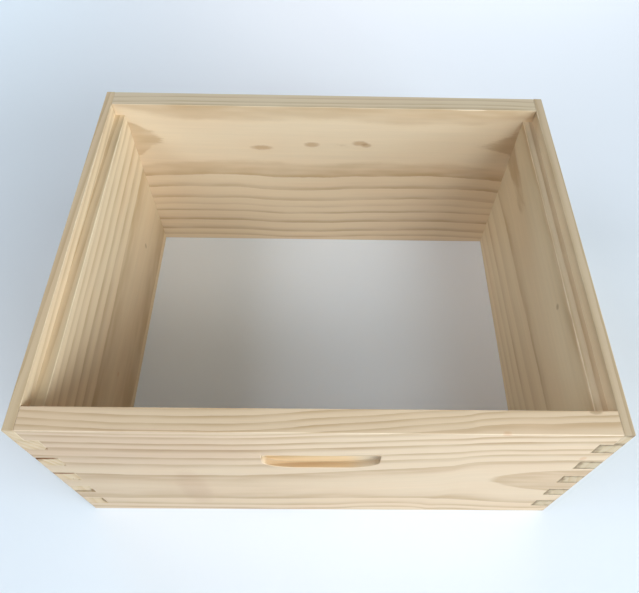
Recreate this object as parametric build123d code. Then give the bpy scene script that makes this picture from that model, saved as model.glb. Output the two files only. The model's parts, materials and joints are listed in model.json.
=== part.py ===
from build123d import *
import os

# Full-depth Langstroth hive box: four pine boards, glued at the corners with box joints, open at
# the top and at the bottom. The two end boards carry the rests that the frames hang from.
#
# Millimetres. The origin is the centre of the footprint, on the bottom rim. X runs along the two
# long boards, Y along the two end boards, and Z is up. The front is at -Y.
#
# Each board is made lying along X, with its outer face at y = 0 and its thickness towards +Y,
# and is then turned and moved to its side of the box.

# Driving dimensions
BOX_LENGTH = 508.0        # outside, along X
BOX_WIDTH = 410.0         # outside, along Y
BOARD = 21.0              # thickness of every board
FINGER = 22.2             # pitch of the fingers of the box joints
FINGER_COUNT = 11         # steps up one corner; odd, so a long board has a finger top and bottom
GLUE_LINE = 0.15          # glue between one finger and the next
LIP = 9.5                 # end board left standing outside the frame rest
REST_DROP = 16.0          # frame rest below the top rim
EASE = 0.8                # rounding of the long arrises and of the box's upright corners

# Hand holds: a shallow pocket routed into the face, flat along the top and rounded below
HOLD_WIDTH = 106.0        # of the flat finger ledge
HOLD_DEPTH = 6.35         # a quarter of an inch, the same all over
HOLD_DROP = 56.5          # finger ledge below the top rim
HOLD_HEIGHT = 34.0        # finger ledge to the pocket's lower edge
HOLD_SIDE = 17.5          # upright part of each end, under the ledge
HOLD_FLAT = 44.0          # straight part of the lower edge, between the two rounded corners

# Derived sizes
BOX_HEIGHT = FINGER * FINGER_COUNT
REST_Z = BOX_HEIGHT - REST_DROP
TOP_STEP = FINGER_COUNT - 1
TOP_FINGER_Z = TOP_STEP * FINGER
HOLD_Z = BOX_HEIGHT - HOLD_DROP
OVERCUT = 1.0             # how far a cutting block reaches outside the board


def blank(outline, length):
    """Board with the given cross-section, a list of (depth, height), and its arrises eased."""
    section = make_face(Polyline(*outline, close=True))
    outer_corners = [v for v in section.vertices() if not is_inside_corner(v)]
    section = fillet(outer_corners, EASE)
    board = extrude(Plane.YZ * section, length / 2, both=True)
    upright_corners = board.edges().filter_by(Axis.Z).group_by(Axis.Y)[0]
    return fillet(upright_corners, EASE)


def is_inside_corner(vertex):
    """Whether a corner of a cross-section is the one where the frame rest meets the lip."""
    return abs(vertex.X - LIP) < 0.01 and abs(vertex.Y - REST_Z) < 0.01


def end_cuts(length, run, depths, heights):
    """Two blocks, one for each end of a board, that cut away its last run of length."""
    low = (length / 2 - run, depths[0], heights[0])
    size = (run + OVERCUT, depths[1] - depths[0], heights[1] - heights[0])
    block = Pos(*low) * Box(*size, align=Align.MIN)
    return [block, mirror(block, about=Plane.YZ)]


def sockets(length, steps):
    """Blocks that cut the full-depth sockets of a box joint at the given steps up both ends."""
    cuts = []
    for step in steps:
        bottom = step * FINGER - (GLUE_LINE / 2 if step else OVERCUT)
        top = (step + 1) * FINGER + GLUE_LINE / 2
        cuts += end_cuts(length, BOARD, (-OVERCUT, BOARD + OVERCUT), (bottom, top))
    return cuts


def hand_hold():
    """The pocket of a hand hold, in a face at y = 0."""
    corner_z = HOLD_Z - HOLD_SIDE
    corner_size = ((HOLD_WIDTH - HOLD_FLAT) / 2, HOLD_HEIGHT - HOLD_SIDE)
    right = EllipticalCenterArc((HOLD_FLAT / 2, corner_z), *corner_size, start_angle=270, arc_size=90)
    left = EllipticalCenterArc((-HOLD_FLAT / 2, corner_z), *corner_size, start_angle=180, arc_size=90)
    ledge = Polyline(right @ 1, (HOLD_WIDTH / 2, HOLD_Z), (-HOLD_WIDTH / 2, HOLD_Z), left @ 0)
    lower_edge = Line(left @ 1, right @ 0)
    outline = Plane.XZ * make_face([right, ledge, left, lower_edge])
    return Pos(0, -OVERCUT, 0) * extrude(outline, -(HOLD_DEPTH + OVERCUT))


def long_board():
    """Front or rear board: fingers on the even steps, the top one shortened by the lips."""
    outline = [(0, 0), (BOARD, 0), (BOARD, BOX_HEIGHT), (0, BOX_HEIGHT)]
    board = blank(outline, BOX_LENGTH)
    board -= sockets(BOX_LENGTH, range(1, TOP_STEP, 2))
    above_sockets = (TOP_FINGER_Z, BOX_HEIGHT + OVERCUT)
    board -= end_cuts(BOX_LENGTH, LIP, (-OVERCUT, BOARD + OVERCUT), above_sockets)
    return board - hand_hold()


def end_board():
    """Left or right board: fingers on the odd steps, and a frame rest along its inner top arris."""
    outline = [(0, 0), (BOARD, 0), (BOARD, REST_Z), (LIP, REST_Z), (LIP, BOX_HEIGHT), (0, BOX_HEIGHT)]
    board = blank(outline, BOX_WIDTH)
    board -= sockets(BOX_WIDTH, range(0, TOP_STEP, 2))
    beside_top_finger = (TOP_FINGER_Z - GLUE_LINE / 2, BOX_HEIGHT + OVERCUT)
    board -= end_cuts(BOX_WIDTH, BOARD, (LIP, BOARD + OVERCUT), beside_top_finger)
    return board - hand_hold()


boards = {
    "front_board": Pos(0, -BOX_WIDTH / 2, 0) * long_board(),
    "rear_board": Pos(0, BOX_WIDTH / 2, 0) * Rot(0, 0, 180) * long_board(),
    "left_end_board": Pos(-BOX_LENGTH / 2, 0, 0) * Rot(0, 0, -90) * end_board(),
    "right_end_board": Pos(BOX_LENGTH / 2, 0, 0) * Rot(0, 0, 90) * end_board(),
}

os.makedirs("parts", exist_ok=True)
for name, board in boards.items():
    export_step(board, f"parts/{name}.step")
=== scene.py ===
import json
import math
import random
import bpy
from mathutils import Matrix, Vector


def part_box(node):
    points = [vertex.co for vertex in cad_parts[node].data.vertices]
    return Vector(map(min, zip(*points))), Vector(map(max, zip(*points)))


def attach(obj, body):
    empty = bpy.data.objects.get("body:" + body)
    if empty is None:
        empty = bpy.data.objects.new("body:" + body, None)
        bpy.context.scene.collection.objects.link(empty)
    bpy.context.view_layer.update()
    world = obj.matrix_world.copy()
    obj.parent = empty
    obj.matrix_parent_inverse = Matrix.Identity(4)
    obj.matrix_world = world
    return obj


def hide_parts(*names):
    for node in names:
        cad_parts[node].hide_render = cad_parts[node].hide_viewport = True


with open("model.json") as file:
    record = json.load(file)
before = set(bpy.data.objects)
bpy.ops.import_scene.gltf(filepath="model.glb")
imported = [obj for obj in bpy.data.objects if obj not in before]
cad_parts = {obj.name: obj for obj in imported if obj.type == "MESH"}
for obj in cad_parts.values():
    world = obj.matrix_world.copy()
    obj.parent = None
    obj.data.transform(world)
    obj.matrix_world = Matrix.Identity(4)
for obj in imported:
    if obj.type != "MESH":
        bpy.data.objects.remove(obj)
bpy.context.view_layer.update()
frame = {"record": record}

from types import SimpleNamespace

import bmesh
import bpy
from mathutils import Matrix, Vector

# The looks of a full-depth hive box: four pine boards with glued box joints, on a pale floor.
# Metres. X runs along the long boards, Y along the end boards, Z is up, and the front is at -Y.
# Every board is made lying along X, with its outer face at y = 0 and its thickness towards +Y,
# and is then turned and moved to its side of the box.

MM = 0.001
TO_MM = 1 / MM
LONG_BOARDS = ("front_board", "rear_board")
END_BOARDS = ("left_end_board", "right_end_board")

# Sizes read from the frame
front_low, front_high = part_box("front_board")
left_low, left_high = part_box("left_end_board")
BOX_LENGTH = front_high.x - front_low.x
BOX_WIDTH = left_high.y - left_low.y
BOX_HEIGHT = front_high.z
BOARD = front_high.y - front_low.y
MOUNTS = {mount["name"]: mount["pos_m"] for mount in frame["record"]["mounts"]}
REST_Z = MOUNTS["left_frame_rest"][2]

# Sizes that the frame doesn't give
FINGER_COUNT = 11
FINGER = BOX_HEIGHT / FINGER_COUNT
TOP_FINGER_Z = BOX_HEIGHT - FINGER
LIP = 9.5 * MM
HOLD_WIDTH = 106 * MM
HOLD_DEPTH = 6.35 * MM
HOLD_Z = BOX_HEIGHT - 56.5 * MM
HOLD_HEIGHT = 34 * MM
HOLD_SIDE = 17.5 * MM
HOLD_FLAT = 44 * MM
HOLD_COVE = 1.5 * MM         # rounding where the pocket's wall meets its back

# The sizes that the grain and the open joints use, in millimetres
FINGER_MM = FINGER * TO_MM
BOARD_MM = BOARD * TO_MM
TOP_MM = BOX_HEIGHT * TO_MM
HOLD_HALF_MM = HOLD_WIDTH * TO_MM / 2
HOLD_DEPTH_MM = HOLD_DEPTH * TO_MM
HOLD_TOP_MM = HOLD_Z * TO_MM
HOLD_BOTTOM_MM = (HOLD_Z - HOLD_HEIGHT) * TO_MM

# Finish of the woodwork
EASE = 0.9 * MM              # sanded rounding of a long arris
HOLD_EASE = 0.8              # share of that around a hand hold
SAW_EASE = 0.3               # and on the edges that the saw left
ARRIS_ANGLE = math.radians(40)     # a flatter edge than this isn't rounded
SHARP_ANGLE = math.radians(42)     # a flatter edge than this is shaded smooth
STATION = 26 * MM            # spacing of the cross-cuts that let an arris vary along a board
OVERCUT = 2 * MM             # how far a cutting block reaches outside a board
GAPS = (0.05 * MM, 0.25 * MM)      # least and most room between a finger and the next one


# ------------------------------------------------------------------ mesh helpers

def new_object(name, data):
    """An object that holds the data, put into the scene."""
    piece = bpy.data.objects.new(name, data)
    bpy.context.scene.collection.objects.link(piece)
    return piece


def mesh_of(build):
    """A mesh made in a bmesh by the function build."""
    edit = bmesh.new()
    build(edit)
    bmesh.ops.recalc_face_normals(edit, faces=edit.faces)
    mesh = bpy.data.meshes.new("mesh")
    edit.to_mesh(mesh)
    edit.free()
    return mesh


def apply_modifiers(piece):
    """Replaces the piece's mesh with what its modifiers make of it."""
    graph = bpy.context.evaluated_depsgraph_get()
    made = bpy.data.meshes.new_from_object(piece.evaluated_get(graph))
    piece.modifiers.clear()
    piece.data = made


def carve(piece, cutters):
    """Cuts the cutter meshes out of the piece, one after another."""
    for mesh in cutters:
        tool = new_object("tool", mesh)
        cut = piece.modifiers.new("cut", "BOOLEAN")
        cut.object = tool
        cut.operation = "DIFFERENCE"
        cut.solver = "EXACT"
        apply_modifiers(piece)
        bpy.data.objects.remove(tool)


def stack(layers):
    """Solid through layers of points, all with the same number of corners, from front to back."""
    def build(edit):
        rings = [[edit.verts.new(point) for point in layer] for layer in layers]
        edit.faces.new(rings[0])
        edit.faces.new(reversed(rings[-1]))
        for near, far in zip(rings, rings[1:]):
            for i in range(len(near)):
                j = (i + 1) % len(near)
                edit.faces.new((near[i], far[i], far[j], near[j]))
    return mesh_of(build)


def prism(outline, low_y, high_y):
    """Mesh of an (x, z) outline run from low_y to high_y."""
    return stack([[(x, y, z) for x, z in outline] for y in (low_y, high_y)])


def block(low, high):
    """Mesh of the box between two corners."""
    outline = [(low[0], low[2]), (high[0], low[2]), (high[0], high[2]), (low[0], high[2])]
    return prism(outline, low[1], high[1])


# ------------------------------------------------------------------ boards

def joint_profile(length, fingers, gap):
    """Right-hand end of a board as (along, height) points going up.

    fingers lists (first step, step after the last, how far it stops short) for each finger,
    and gap() gives the room left between a finger and the next one.
    """
    root = length / 2 - BOARD
    points = []
    reached = 0
    for first, after, short in fingers:
        low = first * FINGER + gap() if first else 0
        high = after * FINGER - gap() if after < FINGER_COUNT else BOX_HEIGHT
        if first:
            points += [(root, reached), (root, low)]
        points += [(length / 2 - short, low), (length / 2 - short, high)]
        reached = high
    return points


def hold_outline(inset):
    """Outline of a hand hold's pocket, drawn in by inset: a straight ledge and rounded corners."""
    wide = (HOLD_WIDTH - HOLD_FLAT) / 2
    tall = HOLD_HEIGHT - HOLD_SIDE
    steps = 24
    right = [(HOLD_WIDTH / 2 - inset, HOLD_Z - inset)]
    for i in range(steps + 1):
        angle = math.pi / 2 * i / steps
        out = Vector((tall * math.cos(angle), -wide * math.sin(angle))).normalized() * inset
        x = HOLD_FLAT / 2 + wide * math.cos(angle) - out.x
        z = HOLD_Z - HOLD_SIDE - tall * math.sin(angle) - out.y
        right.append((x, z))
    return right + [(-x, z) for x, z in reversed(right)]


def hold_cutter():
    """The cutter's path: a pocket HOLD_DEPTH deep, coved where its wall meets its back."""
    levels = [(-OVERCUT, 0)]
    steps = 4
    for i in range(steps + 1):
        angle = math.pi / 2 * i / steps
        depth = HOLD_DEPTH - HOLD_COVE * (1 - math.sin(angle))
        levels.append((depth, HOLD_COVE * (1 - math.cos(angle))))
    return stack([[(x, depth, z) for x, z in hold_outline(inset)] for depth, inset in levels])


def long_blank(gap):
    """Front or rear board: fingers on the even steps, the top one shortened by the lips."""
    fingers = [(step, step + 1, 0) for step in range(0, FINGER_COUNT - 1, 2)]
    fingers.append((FINGER_COUNT - 1, FINGER_COUNT, LIP + 2 * gap()))
    return plank(BOX_LENGTH, fingers, gap)


def end_blank(gap):
    """Left or right board before its rabbet: fingers on the odd steps, the top one with the lip."""
    fingers = [(step, step + 1, 0) for step in range(1, FINGER_COUNT - 2, 2)]
    fingers.append((FINGER_COUNT - 2, FINGER_COUNT, 0))
    return plank(BOX_WIDTH, fingers, gap)


def plank(length, fingers, gap):
    """A board with the same fingers at both ends."""
    right = joint_profile(length, fingers, gap)
    left = joint_profile(length, fingers, gap)
    return prism(right + [(-x, z) for x, z in reversed(left)], 0, BOARD)


def rabbet_cutters():
    """Blocks that cut the frame rest, and room for the long boards' top fingers, in an end board."""
    reach = BOX_WIDTH / 2 + OVERCUT
    root = BOX_WIDTH / 2 - BOARD
    above = BOX_HEIGHT + OVERCUT
    inside = BOARD + OVERCUT
    under_finger = TOP_FINGER_Z - 0.1 * MM
    return [
        block((-reach, LIP, REST_Z), (reach, inside, above)),
        block((root, LIP, under_finger), (reach, inside, above)),
        block((-reach, LIP, under_finger), (-root, inside, above)),
    ]


def cross_cut(piece, length):
    """Divides the long faces at regular stations, and at the roots of the joints."""
    edit = bmesh.new()
    edit.from_mesh(piece.data)
    root = length / 2 - BOARD
    count = round(2 * root / STATION)
    for i in range(count + 1):
        geometry = edit.verts[:] + edit.edges[:] + edit.faces[:]
        x = -root + 2 * root * i / count
        bmesh.ops.bisect_plane(edit, geom=geometry, dist=1e-7, plane_co=(x, 0, 0), plane_no=(1, 0, 0))
    edit.to_mesh(piece.data)
    edit.free()


def ease_arrises(piece, length, draw):
    """Rounds the sanded arrises unevenly and takes the sharpness off the sawn edges. draw gives each
    edge its own share of the full rounding."""
    edit = bmesh.new()
    edit.from_mesh(piece.data)
    weights = edit.edges.layers.float.new("bevel_weight_edge")
    near = 0.05 * MM
    for edge in edit.edges:
        if len(edge.link_faces) != 2 or not edge.is_convex or edge.calc_face_angle() < ARRIS_ANGLE:
            continue
        middle = (edge.verts[0].co + edge.verts[1].co) / 2
        run = (edge.verts[1].co - edge.verts[0].co).normalized()
        along_arris = abs(run.x) > 0.99 and abs(middle.x) < length / 2 - BOARD
        rim = middle.z < near or middle.z > BOX_HEIGHT - near or abs(middle.z - REST_Z) < near
        corner = abs(run.z) > 0.99 and middle.y < near and abs(middle.x) > length / 2 - near
        bottom_or_top_end = abs(run.x) > 0.99 and rim and not along_arris
        around_hold = middle.y < near and abs(middle.x) < HOLD_WIDTH / 2 + near and not rim
        if (along_arris and rim) or corner or bottom_or_top_end:
            edge[weights] = draw.uniform(0.65, 1.0)
        elif around_hold:
            edge[weights] = HOLD_EASE * draw.uniform(0.9, 1.0)
        else:
            edge[weights] = SAW_EASE * draw.uniform(0.7, 1.1)
    edit.to_mesh(piece.data)
    edit.free()
    bevel = piece.modifiers.new("ease", "BEVEL")
    bevel.limit_method = "WEIGHT"
    bevel.offset_type = "OFFSET"
    bevel.width = EASE
    bevel.segments = 3
    bevel.use_clamp_overlap = False
    apply_modifiers(piece)


def smooth_normals(piece):
    """Smooth shading on the roundings, flat shading on the faces."""
    for face in piece.data.polygons:
        face.use_smooth = True
    piece.data.set_sharp_from_angle(angle=SHARP_ANGLE)
    weighted = piece.modifiers.new("weighted", "WEIGHTED_NORMAL")
    weighted.keep_sharp = True
    apply_modifiers(piece)


def placement(name):
    """Takes a board lying along X, outer face at y = 0, to its side of the box."""
    spot, turn = {
        "front_board": ((0, -BOX_WIDTH / 2, 0), 0),
        "rear_board": ((0, BOX_WIDTH / 2, 0), 180),
        "left_end_board": ((-BOX_LENGTH / 2, 0, 0), -90),
        "right_end_board": ((BOX_LENGTH / 2, 0, 0), 90),
    }[name]
    return Matrix.Translation(spot) @ Matrix.Rotation(math.radians(turn), 4, "Z")


def build_board(name, seed):
    """One board of the box, where it stands."""
    draw = random.Random(seed)

    def gap():
        return draw.uniform(*GAPS)

    is_long = name in LONG_BOARDS
    length = BOX_LENGTH if is_long else BOX_WIDTH
    piece = new_object(name + "_pine", long_blank(gap) if is_long else end_blank(gap))
    cross_cut(piece, length)
    if not is_long:
        carve(piece, rabbet_cutters())
    carve(piece, [hold_cutter()])
    ease_arrises(piece, length, draw)
    piece.data.transform(placement(name))
    carve(piece, flaw_cutters(name, draw))
    smooth_normals(piece)
    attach(piece, "root")
    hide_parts(name)
    return piece


# ------------------------------------------------------------------ open joints and broken wood

# In millimetres
FLAW_DEPTHS = (7, 12)        # least and most depth of a flaw from the front
SPLINTER = 1.6               # length of one splinter along a torn side
SPLINTER_HEIGHT = 0.12       # how far it stands above or below the side's line

# Where the left front corner's joint stands open or has lost a splinter. Each outline lists
# (distance in from the side of the box, height) in millimetres, on the front face.
LEFT_FLAWS = (
    ((-1, 177.9), (21.5, 177.9), (21.5, 176.9), (12, 176), (7, 174.8), (-1, 174.2)),
    ((-1, 133.5), (21.5, 133.5), (21.5, 132.1), (14, 131.6), (8, 132.2), (-1, 131.9)),
    ((-1, 66.3), (21.6, 66.3), (21.6, 76), (20.6, 80), (19.8, 74), (17, 69.6), (9, 68.6), (3, 69.2),
     (-1, 68.4)),
    ((19.2, 44.8), (21.3, 44.8), (21.3, 24), (20.2, 24), (19.8, 34)),
    ((17.5, 199.5), (21.3, 199.5), (21.3, 204.5), (19.8, 202)),
    ((18.5, 155.1), (21.3, 155.1), (21.3, 160), (20, 157.5)),
    ((13.4, 112.5), (14.6, 113), (14.2, 117.5)),
    ((17.2, 110.7), (20, 110.7), (19, 113.6)),
)


def open_joint(step):
    """The room left under one finger and beside it, where the right-hand joint was cut loose."""
    low = step * FINGER_MM
    under = ((-1, low - 0.3), (21.3, low - 0.3), (21.3, low + 1.0), (10, low + 0.7), (-1, low + 0.9))
    beside = ((20.5, low), (21.3, low), (21.3, low + FINGER_MM), (20.7, low + FINGER_MM))
    return [under, beside]


def torn(outline, draw):
    """The outline with its longer sides broken up like torn fibres."""
    points = []
    for start, end in zip(outline, outline[1:] + outline[:1]):
        count = max(1, round(math.dist(start, end) / SPLINTER))
        for i in range(count):
            across = start[0] + (end[0] - start[0]) * i / count
            height = start[1] + (end[1] - start[1]) * i / count
            points.append((across, height + draw.uniform(-SPLINTER_HEIGHT, SPLINTER_HEIGHT)))
    return points


def flaw_cutters(name, draw):
    """Blocks, where the box stands, that open the joints at the front corners."""
    if name == "left_end_board":
        side, outlines = -1, LEFT_FLAWS
    elif name == "right_end_board":
        side, outlines = 1, [flaw for step in range(1, FINGER_COUNT, 2) for flaw in open_joint(step)]
    else:
        return []
    front = -BOX_WIDTH / 2
    cutters = []
    for outline in outlines:
        spots = [(side * (BOX_LENGTH / 2 - u * MM), z * MM) for u, z in torn(outline, draw)]
        cutters.append(prism(spots, front - OVERCUT, front + draw.uniform(*FLAW_DEPTHS) * MM))
    return cutters


# ------------------------------------------------------------------ shader helpers

class Field:
    """A number or colour that varies over a surface: a node's output, with arithmetic on it."""

    def __init__(self, shader, socket):
        self.shader = shader
        self.socket = socket

    def __add__(self, other):
        return self.shader.math("ADD", self, other)

    def __sub__(self, other):
        return self.shader.math("SUBTRACT", self, other)

    def __rsub__(self, other):
        return self.shader.math("SUBTRACT", other, self)

    def __mul__(self, other):
        return self.shader.math("MULTIPLY", self, other)

    def __truediv__(self, other):
        return self.shader.math("DIVIDE", self, other)

    def __pow__(self, other):
        return self.shader.math("POWER", self, other)

    __radd__ = __add__
    __rmul__ = __mul__


class Shader:
    """Adds nodes to a new material and links them."""

    def __init__(self, name):
        self.material = bpy.data.materials.new(name)
        self.material.use_nodes = True
        self.tree = self.material.node_tree
        self.surface = self.tree.nodes["Principled BSDF"]

    def set(self, socket, value):
        if isinstance(value, Field):
            self.tree.links.new(value.socket, socket)
        elif isinstance(value, tuple):
            socket.default_value = (*value, 1.0)
        else:
            socket.default_value = value

    def math(self, operation, *values):
        node = self.tree.nodes.new("ShaderNodeMath")
        node.operation = operation
        for socket, value in zip(node.inputs, values):
            self.set(socket, value)
        return Field(self, node.outputs[0])

    def scale(self, value, low, high, smooth=False):
        """0 at low and below, 1 at high and beyond, where low may be above high."""
        node = self.tree.nodes.new("ShaderNodeMapRange")
        node.interpolation_type = "SMOOTHSTEP" if smooth else "LINEAR"
        falls = low > high
        self.set(node.inputs["Value"], value)
        self.set(node.inputs["From Min"], min(low, high))
        self.set(node.inputs["From Max"], max(low, high))
        self.set(node.inputs["To Min"], 1.0 if falls else 0.0)
        self.set(node.inputs["To Max"], 0.0 if falls else 1.0)
        return Field(self, node.outputs["Result"])

    def step(self, value, low, high):
        """The same, with a soft start and end."""
        return self.scale(value, low, high, smooth=True)

    def line(self, value, points, smooth=True):
        """The height at value of the line through the (across, height) points."""
        acrosses, heights = zip(*points)
        low, high = min(heights), max(heights)
        if low == high:
            return low
        span = acrosses[-1] - acrosses[0]
        spots = [((x - acrosses[0]) / span, (y - low) / (high - low)) for x, y in points]
        node = self.tree.nodes.new("ShaderNodeFloatCurve")
        curve = node.mapping.curves[0]
        curve.points[0].location = spots[0]
        curve.points[1].location = spots[-1]
        for spot in spots[1:-1]:
            curve.points.new(*spot)
        for point in curve.points:
            point.handle_type = "AUTO" if smooth else "VECTOR"
        node.mapping.update()
        self.set(node.inputs["Value"], self.scale(value, acrosses[0], acrosses[-1]))
        return Field(self, node.outputs[0]) * (high - low) + low

    def coordinates(self, output):
        """The three parts of one of the texture coordinates."""
        node = self.tree.nodes.new("ShaderNodeTexCoord")
        split = self.tree.nodes.new("ShaderNodeSeparateXYZ")
        self.tree.links.new(node.outputs[output], split.inputs[0])
        return [Field(self, socket) for socket in split.outputs]

    def point(self, x, y, z):
        """Three numbers joined into a place or a colour."""
        node = self.tree.nodes.new("ShaderNodeCombineXYZ")
        for socket, value in zip(node.inputs, (x, y, z)):
            self.set(socket, value)
        return Field(self, node.outputs[0])

    def noise(self, point, detail=1.0, roughness=0.5):
        """Smooth noise from about -0.5 to 0.5, with features about one unit across."""
        node = self.tree.nodes.new("ShaderNodeTexNoise")
        self.set(node.inputs["Vector"], point)
        self.set(node.inputs["Scale"], 1.0)
        self.set(node.inputs["Detail"], detail)
        self.set(node.inputs["Roughness"], roughness)
        return Field(self, node.outputs["Fac"]) - 0.5

    def mix(self, amount, first, second, kind="MIX"):
        """The colour first where amount is 0, and second where it is 1."""
        node = self.tree.nodes.new("ShaderNodeMix")
        node.data_type = "RGBA"
        node.blend_type = kind
        self.set(node.inputs["Factor"], amount)
        self.set(node.inputs[6], first)
        self.set(node.inputs[7], second)
        return Field(self, node.outputs[2])

    def tint(self, colour, amount, by):
        """Multiplies the colour by another, as far as amount says."""
        return self.mix(amount, colour, by, "MULTIPLY")

    def shade(self, colour, by):
        """Multiplies the colour by a number."""
        return self.tint(colour, 1.0, self.point(by, by, by))

    def bump(self, height, distance):
        """Gives the surface a relief, where distance is how high a height of 1 stands."""
        node = self.tree.nodes.new("ShaderNodeBump")
        self.set(node.inputs["Height"], height)
        self.set(node.inputs["Distance"], distance)
        self.set(self.surface.inputs["Normal"], Field(self, node.outputs[0]))


# ------------------------------------------------------------------ the grain of each board

# In millimetres. Each board was sawn with its heart side out, so the pith of its log runs along the
# board, pith_distance outside the outer face and pith_height above the bottom edge. rings gives the
# growth rings: how far from the pith each one ends, and how dark its late wood is there. late says
# where in a ring its late wood starts and is darkest. middle lists (ring number, how dark the wood
# before the late wood is). pith_height, closer, upper, lower and shade list (place along the board,
# value there): closer is how much nearer the pith comes, upper and lower how far the rings above and
# below it shift upwards, and shade a factor that makes the board paler or darker there. rim is painted
# light and shade on its top edge, paler or darker by how the light falls there. glue is how much glue
# has soaked into the end grain. marks are knots, bruises, streaks and patches, some of them painted
# shade and one painted light: the place (along, depth, height), the half sizes the same way, and the
# tint.
KNOT = (0.76, 0.66, 0.57)
BRUISE = (0.72, 0.66, 0.60)        # dented or rubbed wood
BROWN_STREAK_AND_SHADE = (0.46, 0.30, 0.22)          # dark brown streak across a finger's end, and painted shade in an open joint
OPEN_JOINT_SHADE = (0.58, 0.52, 0.44)          # painted shade: a greyer streak in an open joint
FLECK = (0.95, 0.85, 0.78)         # faint pink spot
CLOUD = (0.925, 0.89, 0.88)        # broad, slightly darker patch
PAINTED_LIGHT_BAND = (1.09, 1.08, 1.12)          # painted light: a broad, slightly paler and bluer band
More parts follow.
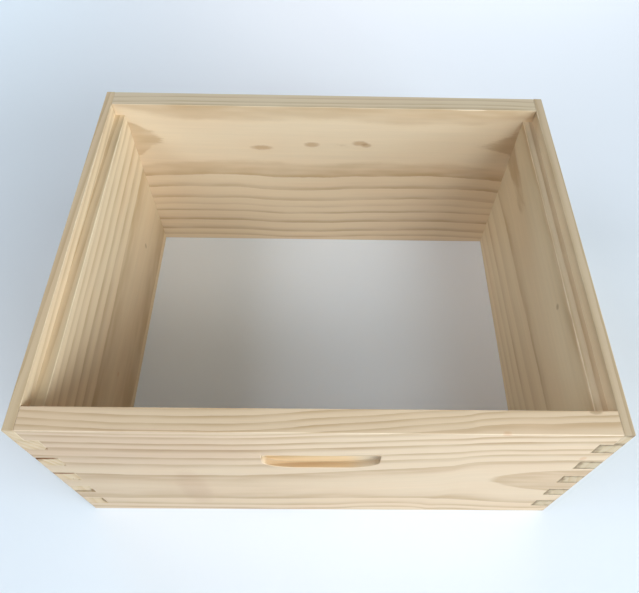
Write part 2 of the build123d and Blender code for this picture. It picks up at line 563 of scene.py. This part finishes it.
GRAIN = {
    "front_board": dict(
        seed=11, pith_distance=178, tone=(0.93, 0.905, 0.90), end_tone=(0.90, 0.88, 0.84), glue=0.5,
        shade=((-254, 0.93), (-60, 0.97), (80, 1.0), (254, 1.0)), rim=(1.14, 1.12, 1.10),
        late=(0.42, 0.90), middle=((2, 0.10), (6, 0.10), (7, 0.17), (12, 0.17)),
        rings=((158, 0.5), (172.3, 0.75), (183.3, 0.8), (193, 0.7), (200.5, 0.8), (211.5, 0.95),
               (219.5, 0.9), (229, 0.65), (233.5, 0.6), (238, 0.75), (242.5, 0.6), (247.5, 0.7),
               (252.5, 0.6)),
        pith_height=((-254, 89), (-90, 86), (0, 93), (60, 98), (120, 107), (155, 121), (190, 120),
                     (254, 117)),
        closer=((-254, 0.5), (-90, 0), (0, 0.9), (60, 2.5), (120, 4), (158, 5.7), (190, 7.4),
                (220, 8.8), (254, 9.8)),
        upper=((-254, 4), (-180, 3.5), (-90, 2), (0, 0), (60, -1), (120, -6), (155, -17), (188, -17),
               (254, -9)),
        lower=((-254, 12), (-191, 12), (-90, 8), (0, 3.5), (60, 12), (120, -3), (155, -15), (188, -16),
               (254, -4)),
        marks=(((150, 1, 243), (4, 2.5, 2), FLECK), ((226, 20, 244), (5, 2.5, 3), BRUISE),
               ((-128, 0, 84), (15, 2, 55), CLOUD),
               ((-165, 0, 200), (120, 6, 48), CLOUD), ((232, 0, 186), (3, 2, 5), FLECK)),
    ),
    "rear_board": dict(
        seed=23, pith_distance=230, tone=(1.06, 1.075, 1.085), end_tone=(0.80, 0.77, 0.72), glue=0.5,
        shade=((-254, 1.0), (254, 1.0)), rim=(0.88, 0.90, 0.91),
        late=(0.50, 0.93), middle=((1.9, 0.10), (2.05, 0.60), (2.9, 0.60), (3.05, 0.12)),
        rings=((236, 0.6), (243, 0.6), (250.8, 0.6), (257.8, 0.85), (264, 0.75), (271.2, 0.6), (276.5, 0.3),
               (282.5, 0.75), (292, 0.85), (302.8, 0.7), (310.2, 0.6), (318, 0.55), (326, 0.6)),
        pith_height=((-254, 197), (-150, 190), (254, 190)),
        closer=((-254, 2.2), (-233, 1.6), (-197, 0.35), (-150, -0.2), (0, 0), (84, -0.3), (150, -0.4),
                (193, 0.1), (233, 1.1), (254, 1.8)),
        upper=((-254, 8), (-100, 7), (0, 4), (100, -2), (190, -8), (254, -6)),
        lower=((-254, 0), (-175, 1), (-118, 1), (-48, -2.5), (36, 0), (94, 2), (152, 3), (200, 2), (254, -1)),
        marks=(((-78, 21, 181), (13, 3, 3.6), KNOT), ((-16, 21, 187), (9, 3, 4), KNOT),
               ((43, 21, 190), (9, 3, 4), KNOT), ((51, 21, 187), (6, 3, 3.5), KNOT)),
    ),
    "left_end_board": dict(
        seed=37, pith_distance=209, tone=(1.0, 1.01, 0.98), end_tone=(0.91, 0.89, 0.88), glue=0.15,
        shade=((-205, 0.98), (205, 1.02)), rim=(0.90, 0.85, 0.81),
        late=(0.32, 0.93), middle=((0, 0.10), (10, 0.10)),
        rings=((212, 0.5), (224, 0.5), (236.4, 0.8), (242.2, 0.65), (249.2, 0.75), (256.9, 0.65), (264, 0.6),
               (269.5, 0.5), (277, 0.55), (284, 0.5)),
        pith_height=((-205, 82), (205, 82)),
        closer=((-205, -1.5), (205, 1.5)),
        upper=((-205, -6), (-60, -1), (60, 0.5), (205, 6)),
        lower=((-205, -24), (-60, -20), (205, -12)),
        marks=(((110, 21, 75), (2.5, 2, 4), BRUISE), ((-75, 21, 76), (3, 2, 3), FLECK),
               # At the front corner: a dark brown streak and a bruise at the top open joint, and painted
               # shade in the open joints below it
               ((-205, 6, 175.6), (6, 15, 2.6), BROWN_STREAK_AND_SHADE), ((-205, 0, 172), (6, 6, 5), BRUISE),
               ((-205, 9, 133), (6, 13, 3.2), BROWN_STREAK_AND_SHADE),
               ((-205, 10, 70.5), (6, 13, 4.2), OPEN_JOINT_SHADE), ((-205, 20, 74), (6, 2, 6), OPEN_JOINT_SHADE),
               ((-205, 20, 35), (6, 1.6, 9), OPEN_JOINT_SHADE)),
    ),
    "right_end_board": dict(
        seed=51, pith_distance=229, tone=(0.925, 0.965, 0.95), end_tone=(0.81, 0.78, 0.76), glue=1.0,
        shade=((-205, 1.0), (205, 1.0)), rim=(0.92, 0.87, 0.86),
        late=(0.45, 0.93), middle=((0, 0.2), (10, 0.2)),
        rings=((235, 0.5), (242, 0.5), (249.7, 0.6), (256, 0.75), (266, 0.3), (275.6, 0.65), (284, 0.35),
               (293, 0.4), (301, 0.4), (310, 0.4)),
        pith_height=((-205, 173), (205, 173)),
        closer=((-205, -1), (0, 0), (84, 0.3), (184, 0.8), (205, 1)),
        upper=((-205, 10), (0, 0), (205, -10)),
        lower=((-205, 10), (0, 0), (205, -10)),
        marks=(((-58, 21, 204), (3, 2, 3.5), BRUISE), ((175, 21, 178), (45, 3, 14), CLOUD),
               # painted light along the top of the board, over its frame rest
               ((0, 15, 232), (300, 12, 11), PAINTED_LIGHT_BAND)),
    ),
}

EARLY_WOOD = (0.80, 0.615, 0.415)
LATE_WOOD = (0.53, 0.34, 0.172)
FLUSH = (1.0, 0.90, 0.84)          # pinker patches of the wood
CANAL = (0.80, 0.68, 0.55)         # resin canals
HOLD_WALL_LIGHT = (1.13, 1.04, 0.85)        # painted light: the hand hold's upright wall, lighter and warmer
HOLD_FLOOR_SHADE = (0.79, 0.72, 0.60)      # painted shade: the hand hold's level floor, darker
HOLD_ENDS_SHADE_TINT = (0.99, 1.07, 1.15)       # painted shade: cooler and greyer towards the ends of the hold
SANDED_AND_HIGHLIT = (1.13, 1.19, 1.28)          # sanded arrises, paler, with a painted highlight
GLUE = (0.50, 0.45, 0.39)          # end grain that glue has soaked into
PLANER_PITCH = 2.2                 # millimetres between the planer's knife marks
RELIEF = 0.12 * MM                 # height of the grain's relief


def board_point(shader, name):
    """Where a point lies on its board in millimetres, and which way the surface faces there."""
    x, y, z = (axis * TO_MM for axis in shader.coordinates("Object"))
    nx, ny, nz = shader.coordinates("Normal")
    if name in LONG_BOARDS:
        along, sideways, facing, reach = x, y, nx, BOX_WIDTH / 2 * TO_MM
    else:
        along, sideways, facing, reach = y, x, ny, BOX_LENGTH / 2 * TO_MM
    depth = sideways + reach if name in ("front_board", "left_end_board") else reach - sideways
    return SimpleNamespace(along=along, depth=depth, z=z, nx=nx, ny=ny, nz=nz, facing=facing)


def find_in_log(shader, grain, at):
    """Adds how far the point is above the pith, away from it sideways, and from it in all."""
    above = at.z - shader.line(at.along, grain["pith_height"])
    shift = shader.line(at.along, grain["upper"]) * shader.step(above, 20, 100)
    shift += shader.line(at.along, grain["lower"]) * shader.step(above, -25, -80)
    sway = shader.noise(shader.point(at.along / 90, grain["seed"], 0.5), detail=2) * 3
    at.above = above - shift - sway
    at.away = at.depth + grain["pith_distance"] - shader.line(at.along, grain["closer"])
    ripple_at = shader.point(at.along / 65, at.depth / 30, at.above / 22 + grain["seed"])
    fringe_at = shader.point(at.along / 9, at.depth / 1.5, at.above / 1.5 + grain["seed"])
    ripple = shader.noise(ripple_at, detail=2) * 1.6
    fringe = shader.noise(fringe_at) * 0.4
    at.radius = (at.above ** 2 + at.away ** 2) ** 0.5 + ripple + fringe


def late_wood(shader, grain, at):
    """Growth rings: pale early wood, a middle tone, then late wood that stops sharply."""
    rings = grain["rings"]
    ring = shader.line(at.radius, [(end, i) for i, (end, _) in enumerate(rings)], smooth=False)
    share = shader.math("FRACT", ring)
    start, full = grain["late"]
    middle = shader.line(ring, grain["middle"], smooth=False)
    late = shader.step(share, 0.30, 0.46) * middle + shader.step(share, start, full) * (1 - middle)
    late = late * shader.step(share, 1.0, 0.96)
    late = late * shader.line(ring, [(i - 0.1, dark) for i, (_, dark) in enumerate(rings)], smooth=False)
    faint = shader.noise(shader.point(at.along / 60, 0, at.above / 12 + grain["seed"]))
    return late * (shader.step(faint, -0.25, 0.2) * 0.5 + 0.5)


def planed_wood(shader, grain, at, late, fibre, canal):
    """The colour along the grain, with broad changes of tone and painted light and shade on the top edge."""
    streak_at = shader.point(at.along / 180, at.depth / 5, at.above / 5 + grain["seed"])
    patch_at = shader.point(at.along / 120, at.depth / 40, at.above / 30 + grain["seed"])
    patch = shader.step(shader.noise(patch_at), -0.12, 0.25)
    tone = fibre * 0.07 + shader.noise(streak_at, detail=2) * 0.10 + 1.0
    colour = shader.mix(late, EARLY_WOOD, LATE_WOOD)
    colour = shader.tint(colour, 1.0, grain["tone"])
    colour = shader.tint(colour, patch * 0.25, FLUSH)
    colour = shader.tint(colour, canal * (late + 0.15) * 0.6, CANAL)
    colour = shader.shade(colour, tone * shader.line(at.along, grain["shade"]))
    # painted light and shade: the top edge made paler or darker by the board's rim tint, as the light falls
    # there
    top_light_and_shade = shader.step(at.nz, 0.5, 0.9) * shader.step(at.z, TOP_MM - 5, TOP_MM - 3)
    return shader.tint(colour, top_light_and_shade, grain["rim"])


def add_marks(shader, grain, at, colour):
    """Knots, bruises, streaks and patches, some of them painted shade and one painted light, each an
    ellipsoid with a blurred edge.
    """
    blur = shader.noise(shader.point(at.along / 5, at.depth / 3, at.z / 2), detail=2) * 0.9
    for centre, half, tint in grain["marks"]:
        off = [(value - c) / h for value, c, h in zip((at.along, at.depth, at.z), centre, half)]
        distance = off[0] ** 2 + off[1] ** 2 + off[2] ** 2 + blur
        colour = shader.tint(colour, shader.step(distance, 1.7, 0.1), tint)
    return colour


def end_grain(shader, grain, at, colour, late, pores):
    """End grain is duller, with open pores and rays that fan out from the pith, and it is stained by
    glue around each finger."""
    rays = shader.noise(shader.point(at.along / 20, at.above / at.away * 500, grain["seed"]))
    colour = shader.shade(colour, pores * 0.30 + rays * 0.10 + late * 0.25 + 1.0)
    up_finger = shader.math("FRACT", at.z / FINGER_MM)
    to_edge = shader.math("MINIMUM", up_finger, 1 - up_finger) * FINGER_MM
    to_edge = shader.math("MINIMUM", to_edge, shader.math("ABSOLUTE", BOARD_MM - at.depth))
    soaked_at = shader.point(at.along / 30, at.depth / 6, at.z / 6 + grain["seed"])
    soaked = shader.noise(soaked_at, detail=2) * 8
    stain = shader.step(to_edge + soaked, 6, 0.5) * grain["glue"]
    return shader.tint(shader.tint(colour, 1.0, grain["end_tone"]), stain, GLUE)


def in_hold(shader, at):
    """1 on the walls and back of the hand hold's pocket, from just inside the board's face, and 0
    elsewhere. near and far are where it starts and ends falling, outside the pocket."""
    near, far = 0.5, 1.5
    off_middle = shader.math("ABSOLUTE", at.along)
    hold = shader.step(at.depth, 0.3, 0.8)
    hold = hold * shader.step(at.depth, HOLD_DEPTH_MM + far, HOLD_DEPTH_MM + near)
    hold = hold * shader.step(off_middle, HOLD_HALF_MM + far, HOLD_HALF_MM + near)
    hold = hold * shader.step(at.z, HOLD_BOTTOM_MM - far, HOLD_BOTTOM_MM - near)
    return hold * shader.step(at.z, HOLD_TOP_MM + far, HOLD_TOP_MM + near)


def paint_hold_light_and_shade(shader, at):
    """Painted light and shade in the hand hold: lighter and warmer on its upright wall, darker on its level
    floor, and cooler and greyer towards the right end and at the left one.
    """
    lit_and_shaded = shader.mix(shader.step(at.nz, 0.3, 0.7), HOLD_WALL_LIGHT, HOLD_FLOOR_SHADE)
    right = shader.step(at.along, 20, HOLD_HALF_MM - 3)
    left = shader.step(at.along, 4.5 - HOLD_HALF_MM, 0.5 - HOLD_HALF_MM)
    return shader.mix(shader.math("MAXIMUM", right, left), lit_and_shaded, HOLD_ENDS_SHADE_TINT)


def sanded_and_highlit_arrises(shader, at, hold):
    """1 on the arrises, which sanding and a painted highlight make paler: where the surface faces between two
    of the box's directions, but not in the hand hold or near the bottom edge."""
    square = shader.math("MAXIMUM", at.nx ** 2, shader.math("MAXIMUM", at.ny ** 2, at.nz ** 2))
    return shader.step(square, 0.97, 0.75) * shader.scale(hold, 1, 0) * shader.step(at.z, 5, 20)


def pine(name):
    """Solid pine, cut from the log that GRAIN describes."""
    grain = GRAIN[name]
    shader = Shader(name + "_wood")
    at = board_point(shader, name)
    find_in_log(shader, grain, at)
    late = late_wood(shader, grain, at)
    fibre = shader.noise(shader.point(at.along / 60, at.depth / 1.1, at.above / 1.1), detail=2)
    canal = shader.noise(shader.point(at.along / 5, at.depth / 0.45, at.above / 0.45))
    canal = shader.step(canal, 0.24, 0.34)
    pores = shader.noise(shader.point(at.along / 20, at.depth / 0.35, at.above / 0.35), detail=2)
    end = shader.step(at.facing ** 2, 0.4, 0.6)
    hold = in_hold(shader, at)

    colour = planed_wood(shader, grain, at, late, fibre, canal)
    colour = add_marks(shader, grain, at, colour)
    colour = shader.mix(end, colour, end_grain(shader, grain, at, colour, late, pores))
    colour = shader.tint(colour, hold, paint_hold_light_and_shade(shader, at))
    colour = shader.tint(colour, sanded_and_highlit_arrises(shader, at, hold), SANDED_AND_HIGHLIT)
    roughness = late * -0.07 + fibre * 0.10 + end * 0.15 + hold * -0.12 + 0.60
    planer = shader.math("SINE", at.along * (math.tau / PLANER_PITCH)) * 0.03
    relief = late * 0.5 + fibre * 0.4 - canal * 0.5 + pores * end * 1.4 + planer

    shader.set(shader.surface.inputs["Base Color"], colour)
    shader.set(shader.surface.inputs["Roughness"], roughness)
    shader.surface.inputs["Specular IOR Level"].default_value = 0.35
    shader.bump(relief, RELIEF)
    return shader.material


# ------------------------------------------------------------------ assembly

for number, name in enumerate(LONG_BOARDS + END_BOARDS):
    board = build_board(name, seed=100 + number)
    board.data.materials.clear()
    board.data.materials.append(pine(name))


# ------------------------------------------------------------------ stage, light and camera

BLACK = (0.0, 0.0, 0.0)
FLOOR = (0.88, 0.905, 0.955)
BACKDROP = (0.62, 0.68, 0.74)
FADE = (1.0, 2.6)            # how far from the box's middle the floor starts and ends its fading


def stage_floor():
    """A wide pale floor that fades, away from the box, into the backdrop's colour."""
    mesh = bpy.data.meshes.new("floor")
    half = 15.0
    corners = [(-half, -half, 0), (half, -half, 0), (half, half, 0), (-half, half, 0)]
    mesh.from_pydata(corners, [], [(0, 1, 2, 3)])
    floor = new_object("floor", mesh)
    shader = Shader("floor")
    x, y, _ = shader.coordinates("Object")
    far = shader.step((x ** 2 + y ** 2) ** 0.5, *FADE)
    shader.set(shader.surface.inputs["Base Color"], shader.mix(far, FLOOR, BLACK))
    shader.set(shader.surface.inputs["Emission Color"], shader.mix(far, BLACK, BACKDROP))
    shader.surface.inputs["Emission Strength"].default_value = 1.0
    shader.surface.inputs["Roughness"].default_value = 0.6
    mesh.materials.append(shader.material)


def backdrop():
    """A pale backdrop for the camera alone, and a trace of light from all round."""
    world = bpy.data.worlds.new("studio")
    world.use_nodes = True
    tree = world.node_tree
    seen = tree.nodes.new("ShaderNodeLightPath")
    mix = tree.nodes.new("ShaderNodeMix")
    mix.data_type = "RGBA"
    mix.inputs[6].default_value = (0.018, 0.019, 0.02, 1)
    mix.inputs[7].default_value = (*BACKDROP, 1)
    tree.links.new(seen.outputs["Is Camera Ray"], mix.inputs["Factor"])
    tree.links.new(mix.outputs[2], tree.nodes["Background"].inputs["Color"])
    bpy.context.scene.world = world


def area_light(name, azimuth, elevation, distance, size, power, colour):
    """A soft box aimed at the box's centre. Azimuth 0 is in front, and positive is to the right."""
    light = bpy.data.lights.new(name, "AREA")
    light.shape = "RECTANGLE"
    light.size, light.size_y = size
    light.energy = power
    light.color = colour
    lamp = new_object(name, light)
    a, e = math.radians(azimuth), math.radians(elevation)
    direction = Vector((math.sin(a) * math.cos(e), -math.cos(a) * math.cos(e), math.sin(e)))
    lamp.location = Vector((0, 0, BOX_HEIGHT / 2)) + direction * distance
    lamp.rotation_euler = direction.to_track_quat("Z", "Y").to_euler()


def floor_light(name, place, target, size, spread, power, colour):
    """A round lamp with a hood, which lights only the floor round its target."""
    light = bpy.data.lights.new(name, "AREA")
    light.shape = "DISK"
    light.size = size
    light.spread = math.radians(spread)
    light.energy = power
    light.color = colour
    lamp = new_object(name, light)
    lamp.location = place
    lamp.rotation_euler = (Vector(place) - Vector(target)).to_track_quat("Z", "Y").to_euler()


def camera():
    """Above the front board, looking down into the box."""
    data = bpy.data.cameras.new("camera")
    data.sensor_width = 36
    data.lens = 34.16
    data.shift_x = -0.0223
    data.shift_y = -0.0050
    view = new_object("camera", data)
    turn = Matrix.Rotation(math.radians(-1.744), 4, "Z")
    tilt = Matrix.Rotation(math.radians(90 - 56.795), 4, "X")
    roll = Matrix.Rotation(math.radians(2.117), 4, "Z")
    view.matrix_world = Matrix.Translation((0.0006, -0.3766, 0.7109)) @ turn @ tilt @ roll
    bpy.context.scene.camera = view


stage_floor()
backdrop()
area_light("window", 60, 14, 4.5, (3.0, 1.5), 150, (0.73, 0.87, 1.0))
area_light("window_top", 36, 32, 2.4, (1.2, 0.9), 27.7, (0.88, 0.96, 1.0))
area_light("ceiling_front", -40, 37, 2.4, (1.1, 0.9), 10.1, (0.79, 0.90, 1.0))
area_light("sky_left", -75, 48, 4.5, (2.0, 1.7), 51, (0.88, 0.94, 1.0))
area_light("sky_behind", -140, 14, 2.4, (1.1, 0.9), 16.1, (0.63, 0.86, 1.0))
area_light("wall_behind", 180, 14, 2.4, (1.1, 0.9), 14.5, (1.0, 0.80, 0.70))
area_light("ceiling_right", 60, 60, 2.4, (1.1, 0.9), 9.4, (0.77, 0.94, 1.0))
floor_light("behind_right", (0.80, 1.60, 1.5), (0.50, 1.20, 0), 0.5, 60, 1.7, (0.90, 0.97, 1.0))
camera()
bpy.context.scene.view_settings.view_transform = "Standard"
